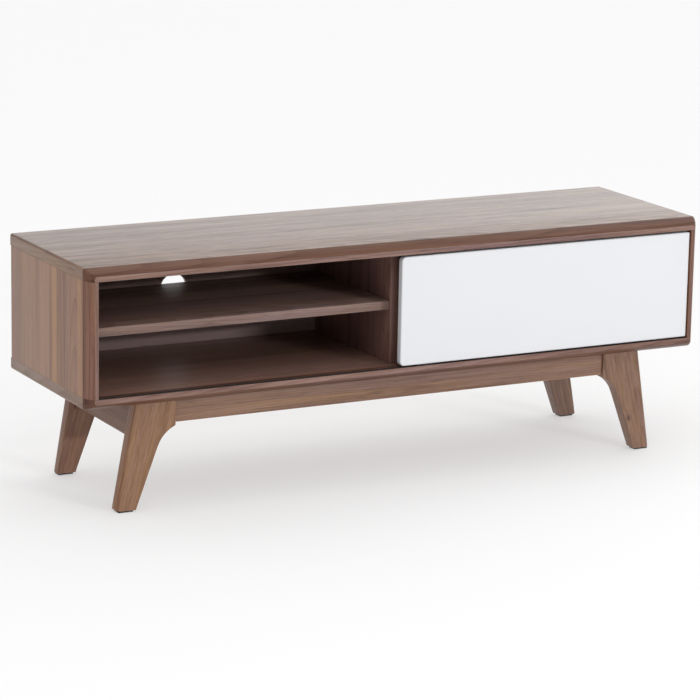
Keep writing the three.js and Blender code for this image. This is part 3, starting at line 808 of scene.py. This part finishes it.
def rebate_cutter():
    return box_cutter(
        (-INNER_X - REBATE, PANEL_FRONT, FLOOR - REBATE),
        (INNER_X + REBATE, BACK + OVERSHOOT, CEILING + REBATE),
    )


def groove_cutter(face_z, direction):
    ends = sorted((face_z - direction * OVERSHOOT, face_z + direction * GROOVE_DEPTH))
    return box_cutter(
        (-INNER_X, DOOR_MIDDLE_Y - GROOVE_WIDTH / 2, ends[0]),
        (INNER_X, DOOR_MIDDLE_Y + GROOVE_WIDTH / 2, ends[1]),
    )


def pin_hole_cutters(face_x, direction):
    cutters = []
    for row in ("front", "rear"):
        low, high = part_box(f"shelf_pin_{row}_left")
        middle = (low + high) / 2
        for step in (-1, 0, 1):
            z = middle.z + step * PIN_PITCH
            start = (face_x - direction * OVERSHOOT, middle.y, z)
            end = (face_x + direction * PIN_HOLE_DEPTH, middle.y, z)
            cutters.append(rod_cutter(PIN_HOLE_RADIUS, start, end, PIN_HOLE_SIDES))
    return cutters


def make_level_boards():
    nose = wood("walnut_nose_x", cad_box, "x", **LEVEL_NOSE_LOOK)
    lip = wood("walnut_lip_x", cad_box, "x", **LEVEL_LIP_LOOK)
    end = wood("walnut_ends", cad_box, "y", **BOARD_END_LOOK)
    for word, upper, look in (("top", True, TOP_LOOK), ("bottom", False, BOTTOM_LOOK)):
        node = f"{word}_board"
        board = carcass_board(word, lambda *insets, upper=upper: level_outline(*insets, upper), BACK)
        face_z, direction = (CEILING, 1) if upper else (FLOOR, -1)
        cut(board, [rebate_cutter(), groove_cutter(face_z, direction)])
        for side in (-1, 1):
            mark_faces(board, (side, 0, 0), END_FACE, 0.2)
        stand_for(board, node, wood(f"walnut_{word}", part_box(node), "x", **look), nose, lip, end)


def make_side_boards():
    nose = wood("walnut_nose_z", cad_box, "z", **UPRIGHT_NOSE_LOOK)
    lip = wood("walnut_lip_z", cad_box, "z", **UPRIGHT_LIP_LOOK)
    rear = SIDE_BOX[1].y
    for word, side, look in (("left", -1, LEFT_SIDE_LOOK), ("right", 1, RIGHT_SIDE_LOOK)):
        node = f"{word}_side_board"
        board = carcass_board(word, lambda *insets, side=side: side_outline(*insets, side), rear)
        holes = pin_hole_cutters(-INNER_X, -1) if side < 0 else []
        cut(board, [rebate_cutter(), *holes])
        stand_for(board, node, wood(f"walnut_{word}_side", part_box(node), "z", **look), nose, lip)


def make_divider():
    low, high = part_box("divider")
    board = rounded_box("divider", low, high, BOARD_ROUND)
    cut(board, pin_hole_cutters(low.x, 1), ROUND_SMOOTH_BELOW)
    stand_for(board, "divider", wood("walnut_divider", (low, high), "z", **DIVIDER_LOOK))


def make_back_panel():
    low, high = PANEL_BOX
    panel = rounded_box("panel", low, high, PANEL_ROUND, 2)
    hole = rod_cutter(
        CABLE_HOLE_RADIUS,
        (CABLE_HOLE_X, low.y - OVERSHOOT, CABLE_HOLE_Z),
        (CABLE_HOLE_X, high.y + OVERSHOOT, CABLE_HOLE_Z),
        CABLE_HOLE_SIDES,
    )
    cut(panel, [hole], ROUND_SMOOTH_BELOW)
    mark_faces(panel, (0, 1, 0), 1)
    front = wood("walnut_panel", PANEL_BOX, "x", **PANEL_LOOK)
    rear = wood("walnut_panel_rear", PANEL_BOX, "x", **PANEL_REAR_LOOK)
    stand_for(panel, "back_panel", front, rear)


def make_shelf():
    low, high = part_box("niche_shelf")
    shelf = rounded_box("shelf", low, high, BOARD_ROUND)
    stand_for(shelf, "niche_shelf", wood("walnut_shelf", (low, high), "x", **SHELF_LOOK))


def make_shelf_pins():
    steel = zinc_steel()
    for row in ("front", "rear"):
        for side in ("left", "right"):
            node = f"shelf_pin_{row}_{side}"
            low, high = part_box(node)
            radius, length = (high.z - low.z) / 2, high.x - low.x
            round_end = arc((radius - PIN_END_ROUND, length - PIN_END_ROUND), PIN_END_ROUND, 0, 90, 5)
            pin = lathe("pin", [(0, 0), (radius, 0), *round_end, (0, length)])
            pin.rotation_euler = (0, math.radians(90 if side == "left" else -90), 0)
            start = low.x if side == "left" else high.x
            pin.location = (start, (low.y + high.y) / 2, (low.z + high.z) / 2)
            stand_for(pin, node, steel)


# ---------- Sliding door ----------
EDGE_ROUND_STEPS = 6


def door_ring(radius, base, direction, step):
    """The door's outline at one step round its front edge (direction 1) or its rear edge (direction -1)."""
    low, high = DOOR_BOX
    angle = math.radians(90 * step / EDGE_ROUND_STEPS)
    inset = radius * (1 - math.sin(angle))
    y = base + direction * radius * (1 - math.cos(angle))
    corners = (DOOR_RIGHT_CORNER, DOOR_LEFT_CORNER, DOOR_LEFT_CORNER, DOOR_RIGHT_CORNER)
    outline = rounded_rectangle(
        (low.x + inset, low.z + inset),
        (high.x - inset, high.z - inset),
        [corner - inset for corner in corners],
    )
    return [(x, y, z) for x, z in outline]


def make_door():
    steps = range(EDGE_ROUND_STEPS + 1)
    rings = [door_ring(DOOR_FRONT_ROUND, DOOR_BOX[0].y, 1, step) for step in steps]
    rings += [door_ring(DOOR_REAR_ROUND, DOOR_BOX[1].y, -1, step) for step in reversed(steps)]
    stand_for(loft("door", rings), "sliding_door", white_lacquer())


def make_tracks():
    plastic = moulded_plastic("black_plastic", (0.012, 0.012, 0.011), (0.020, 0.019, 0.018), 0.5)
    for node, opening in (("lower_track", 1), ("upper_track", -1)):
        low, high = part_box(node)
        base, face = (low.z, high.z) if opening > 0 else (high.z, low.z)
        slot = TRACK_SLOT / 2
        side = high.y - DOOR_MIDDLE_Y
        half = [
            (slot, base + opening * TRACK_BASE),
            (slot, face - opening * TRACK_LIP),
            (slot + TRACK_LIP, face),
            (side - TRACK_LIP, face),
            (side, face - opening * TRACK_LIP),
            (side, base),
        ]
        outline = half + [(-y, z) for y, z in reversed(half)]
        rings = [[(x, DOOR_MIDDLE_Y + y, z) for y, z in outline] for x in (low.x, high.x)]
        stand_for(loft("track", rings), node, plastic)


def make_glides():
    nylon = moulded_plastic("dark_nylon", (0.024, 0.023, 0.021), (0.032, 0.031, 0.029), 0.5)
    for node in ("lower_glide_left", "lower_glide_right", "upper_guide_left", "upper_guide_right"):
        low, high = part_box(node)
        stand_for(rounded_box("glide", low, high, GLIDE_ROUND, 4), node, nylon)


# ---------- Leg frame ----------
def leg_edges(height, box, outward):
    """The leg's outer and inner x at a height, worked out as distances inwards from the cabinet's end."""
    low, high = box
    total = high.z - low.z
    drop = (high.z - height) / total
    foot_outer = END_X - max(abs(low.x), abs(high.x))
    top_inner = END_X - min(abs(low.x), abs(high.x))
    top_outer = top_inner - LEG_TOP_WIDTH
    outer = top_outer + (foot_outer - top_outer) * drop
    centre_z = CARCASS_BOTTOM - GAP - APRON_HEIGHT - LEG_CURVE_RADIUS
    foot_inner = foot_outer + LEG_FOOT_WIDTH
    reach = LEG_CURVE_RADIUS + math.sin(LEG_LEAN) * (centre_z - low.z)
    centre_x = foot_inner + reach / math.cos(LEG_LEAN)
    touch_z = centre_z + LEG_CURVE_RADIUS * math.sin(LEG_LEAN)
    if height < touch_z:
        inner = foot_inner + (height - low.z) * math.tan(LEG_LEAN)
    else:
        rise = min(1.0, (height - centre_z) / LEG_CURVE_RADIUS)
        inner = min(top_inner, centre_x - LEG_CURVE_RADIUS * math.sqrt(1 - rise * rise))
        if rise >= 1.0:
            inner = top_inner
    return outward * (END_X - outer), outward * (END_X - inner)


JUST_ABOVE = 0.001 * MM


def leg_levels(box):
    """Heights from the foot to the top, closer together where the leg curves."""
    low, high = box
    curve_top = high.z - APRON_HEIGHT
    curve_foot = curve_top - LEG_CURVE_SPAN
    levels = [low.z + (curve_foot - low.z) * step / 10 for step in range(11)]
    for step in range(1, 17):
        levels.append(curve_foot + LEG_CURVE_SPAN * math.sin(math.radians(90 * step / 16)))
    return levels + [curve_top + JUST_ABOVE, high.z]


def leg_section(box, height, side, shrink=0.0):
    """The leg's outline at a height. Its outer corner is the softest, most of all at the foot."""
    low, high = box
    outer, inner = leg_edges(height, box, side)
    drop = (high.z - height) / (high.z - low.z)
    soft = LEG_SOFT_ARRIS_TOP + (LEG_SOFT_ARRIS_FOOT - LEG_SOFT_ARRIS_TOP) * drop
    front = low.y < 0
    radii = [LEG_ARRIS] * 4
    if side > 0:
        radii[3 if front else 0] = soft
    else:
        radii[2 if front else 1] = soft
    left, right = sorted((outer, inner))
    corners = (left + shrink, low.y + shrink), (right - shrink, high.y - shrink)
    outline = rounded_rectangle(*corners, [radius - shrink for radius in radii], 5)
    return [(x, y, height) for x, y in outline]


def leg_rings(box, side):
    """The leg's outlines from its rounded foot to its top."""
    foot = box[0].z + LEG_FOOT_ROUND
    rings = []
    for step in range(4):
        angle = math.radians(90 * step / 4)
        section = leg_section(box, foot, side, LEG_FOOT_ROUND * (1 - math.sin(angle)))
        z = box[0].z + LEG_FOOT_ROUND * (1 - math.cos(angle))
        rings.append([(x, y, z) for x, y, _ in section])
    return rings + [leg_section(box, z, side) for z in leg_levels(box) if z > foot]


def make_legs():
    for row in ("front", "rear"):
        for side, word in ((-1, "left"), (1, "right")):
            node = f"{row}_{word}_leg"
            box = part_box(node)
            turn = Euler((0, math.radians(90 + side * LEG_GRAIN_LEAN), 0))
            look = dict(turn=tuple(turn), **LEG_GRAIN, **LEG_LOOKS[node])
            woods = [wood(f"walnut_{node}", box, **look)]
            leg = loft(node, leg_rings(box, side), LEG_SMOOTH_BELOW)
            # The front left leg's left faces get a painted-shade copy of its wood.
            if node == "front_left_leg":
                mark_faces(leg, (-1, 0, 0), 1, 0.75)
                look["tint"] = FRONT_LEFT_LEG_SHADED_SIDE_TINT
                woods.append(wood(f"walnut_{node}_side", box, **look))
            stand_for(leg, node, *woods)


def make_foot_pads():
    plastic = moulded_plastic("foot_plastic", (0.012, 0.012, 0.011), (0.022, 0.021, 0.020), 0.55)
    for row in ("front", "rear"):
        for word in ("left", "right"):
            node = f"{row}_{word}_foot_pad"
            low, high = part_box(node)
            stand_for(rounded_box("pad", low, high, PAD_ROUND, 4), node, plastic)


def rail_outline(low, high, shrink):
    """The rail's outline in the YZ plane: its lower edge curves down into each leg."""
    foot, rise = low.z + shrink, low.z + RAIL_FILLET + shrink
    half = (high.y - low.y) / 2 - shrink
    middle = (low.y + high.y) / 2
    curve = []
    for degrees in range(0, 91, 10):
        angle = math.radians(degrees)
        y = half - RAIL_FILLET_FLAT - RAIL_FILLET * (1 - math.cos(angle))
        curve.append((y, rise - RAIL_FILLET * (1 - math.sin(angle))))
    side = [(half, high.z - shrink), (half, foot), *curve]
    return [(middle + y, z) for y, z in side] + [(middle - y, z) for y, z in reversed(side)]


def make_rail(node, low, high):
    rings = []
    for direction, base in ((1, low.x), (-1, high.x)):
        turn = []
        for step in range(4):
            angle = math.radians(30 * step)
            shrink = RAIL_ROUND * (1 - math.sin(angle))
            x = base + direction * RAIL_ROUND * (1 - math.cos(angle))
            turn.append([(x, y, z) for y, z in rail_outline(low, high, shrink)])
        rings += turn if direction > 0 else list(reversed(turn))
    return loft(node, rings)


def make_aprons():
    for node, seed in (("front_apron", 21.0), ("rear_apron", 22.0)):
        low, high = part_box(node)
        look = wood(f"walnut_{node}", (low, high), "x", seed, **APRON_LOOK)
        stand_for(rounded_box(node, low, high, APRON_ROUND), node, look)


def make_rails():
    for node, seed in (("left_side_rail", 23.0), ("right_side_rail", 24.0)):
        low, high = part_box(node)
        look = wood(f"walnut_{node}", (low, high), "y", seed, **RAIL_LOOK)
        stand_for(make_rail(node, low, high), node, look)


def make_corner_blocks():
    for row in ("front", "rear"):
        for word in ("left", "right"):
            node = f"{row}_{word}_corner_block"
            look = wood(f"pale_{node}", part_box(node), **CORNER_BLOCK_LOOK)
            piece = frame["nodes"][node]
            piece.data.materials.clear()
            piece.data.materials.append(look)
            bevel = piece.modifiers.new("arris", "BEVEL")
            bevel.width = BLOCK_ARRIS
            bevel.segments = 2
            bevel.limit_method = "ANGLE"
            bevel.angle_limit = math.radians(ROUND_SMOOTH_BELOW)


# ---------- Screws ----------
def cross_recess(width, arm, bottom):
    """Two crossed bars that cut a cross into a screw head, down to the height of its bottom."""
    return [box_cutter((-x, -y, bottom), (x, y, OVERSHOOT)) for x, y in ((arm, width), (width, arm))]


def screw(head, head_height, shank, length):
    """Head up along +Z with its underside at z = 0."""
    dome = []
    for degrees in range(0, 90, 15):
        angle = math.radians(degrees)
        dome.append((head * math.cos(angle), head_height * (0.25 + 0.75 * math.sin(angle))))
    profile = [(0, -length), (shank, -length + 2 * shank), (shank, 0), (head, 0), *dome, (0, head_height)]
    recess = cross_recess(head * 0.13, head * 0.55, head_height * 0.35)
    return cut(lathe("screw", profile), recess, ROUND_SMOOTH_BELOW)


def make_panel_screws(steel):
    """Screws driven forwards into the rebate from behind the back panel."""
    for node in sorted(name for name in SLOT_OF if name.startswith("panel_screw_")):
        low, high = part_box(node)
        head_height = PANEL_SCREW_HEAD_HEIGHT
        length = high.y - low.y - head_height
        piece = screw((high.x - low.x) / 2, head_height, PANEL_SCREW_SHANK_RADIUS, length)
        piece.rotation_euler = (math.radians(-90), 0, 0)
        piece.location = ((low.x + high.x) / 2, high.y - head_height, (low.z + high.z) / 2)
        stand_for(piece, node, steel)


def make_frame_screws(steel):
    """Screws driven up through the corner blocks into the bottom board."""
    for node in sorted(name for name in SLOT_OF if name.endswith("_frame_screw")):
        low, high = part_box(node)
        head_height = FRAME_SCREW_HEAD_HEIGHT
        length = high.z - low.z - head_height
        piece = screw((high.x - low.x) / 2, head_height, FRAME_SCREW_SHANK_RADIUS, length)
        piece.rotation_euler = (math.radians(180), 0, 0)
        piece.location = ((low.x + high.x) / 2, (low.y + high.y) / 2, low.z + head_height)
        stand_for(piece, node, steel)


# ---------- Stage ----------
def make_floor():
    mesh = bpy.data.meshes.new("floor")
    half = FLOOR_HALF_SIZE
    corners = [(-half, -half, 0), (half, -half, 0), (half, half, 0), (-half, half, 0)]
    mesh.from_pydata(corners, [], [(0, 1, 2, 3)])
    floor = bpy.data.objects.new("floor", mesh)
    bpy.context.scene.collection.objects.link(floor)
    tree = material_tree("pale_floor")
    tree.shader.inputs["Base Color"].default_value = (FLOOR_ALBEDO, FLOOR_ALBEDO, FLOOR_ALBEDO, 1)
    tree.shader.inputs["Roughness"].default_value = 0.9
    tree.shader.inputs["Specular IOR Level"].default_value = 0.1
    tree.shader.inputs["Emission Color"].default_value = (1, 1, 1, 1)
    tree.shader.inputs["Emission Strength"].default_value = FLOOR_GLOW
    floor.data.materials.append(tree.holder)


def make_backdrop():
    """A pale wall far away all round, which only the camera sees."""
    points = []
    for height in (-0.1, BACKDROP_HEIGHT):
        for side in range(BACKDROP_SIDES):
            angle = 2 * math.pi * side / BACKDROP_SIDES
            points.append((BACKDROP_RADIUS * math.cos(angle), BACKDROP_RADIUS * math.sin(angle), height))
    count = BACKDROP_SIDES
    faces = [(a, (a + 1) % count, (a + 1) % count + count, a + count) for a in range(count)]
    wall = new_piece("backdrop", points, faces)
    tree = material_tree("pale_backdrop")
    tree.shader.inputs["Base Color"].default_value = (0, 0, 0, 1)
    tree.shader.inputs["Specular IOR Level"].default_value = 0
    tree.shader.inputs["Emission Color"].default_value = (1, 1, 1, 1)
    tree.shader.inputs["Emission Strength"].default_value = BACKDROP_GLOW
    wall.data.materials.append(tree.holder)
    wall.visible_diffuse = False
    wall.visible_glossy = False
    wall.visible_transmission = False
    wall.visible_shadow = False


def area_light(name, place, target, size, power):
    light = bpy.data.lights.new(name, "AREA")
    light.shape = "RECTANGLE"
    light.size, light.size_y = size
    light.energy = power
    lamp = bpy.data.objects.new(name, light)
    lamp.location = place
    lamp.rotation_euler = (Vector(target) - Vector(place)).to_track_quat("-Z", "Y").to_euler()
    lamp.visible_camera = False
    bpy.context.scene.collection.objects.link(lamp)


def make_world():
    """A studio that is dim in front, bright behind and to the right, and light above."""
    world = bpy.data.worlds.new("studio")
    bpy.context.scene.world = world
    tree = Tree(world, "Background")
    direction = tree.node("ShaderNodeTexCoord").outputs["Generated"]
    up = tree.split(direction)[2]
    room = tree.spread(up, 0.0, 1.0, HORIZON_LIGHT, ZENITH_LIGHT)
    behind = tree.spread(tree.vector("DOT_PRODUCT", direction, REAR_GLOW_SIDE), REAR_GLOW_EDGE, 1.0)
    full, none = REAR_GLOW_FADE
    low = tree.spread(up, none, full)
    glow = tree.math("MULTIPLY", tree.math("MULTIPLY", behind, low), REAR_GLOW)
    tree.shader.inputs["Color"].default_value = (1, 1, 1, 1)
    tree.put(tree.shader.inputs["Strength"], tree.math("ADD", room, glow))


def make_light():
    make_world()
    for name, (place, target, size, power) in SOFTBOXES.items():
        area_light(name, place, target, size, power)


def make_camera():
    camera = bpy.data.cameras.new("camera")
    camera.lens = CAMERA_LENS
    camera.clip_end = 200
    seat = bpy.data.objects.new("camera", camera)
    seat.location = CAMERA_PLACE
    look = Euler((math.pi / 2 - CAMERA_PITCH, 0, -CAMERA_YAW))
    turn = look.to_matrix() @ Euler((0, 0, CAMERA_ROLL)).to_matrix()
    seat.rotation_euler = turn.to_euler()
    bpy.context.scene.collection.objects.link(seat)
    bpy.context.scene.camera = seat


make_camera()
make_level_boards()
make_side_boards()
make_divider()
make_back_panel()
make_shelf()
make_shelf_pins()
make_door()
make_tracks()
make_glides()
make_legs()
make_foot_pads()
make_aprons()
make_rails()
make_corner_blocks()
screw_steel = zinc_steel()
make_panel_screws(screw_steel)
make_frame_screws(screw_steel)
make_floor()
make_backdrop()
make_light()
bpy.context.scene.view_settings.view_transform = "Standard"
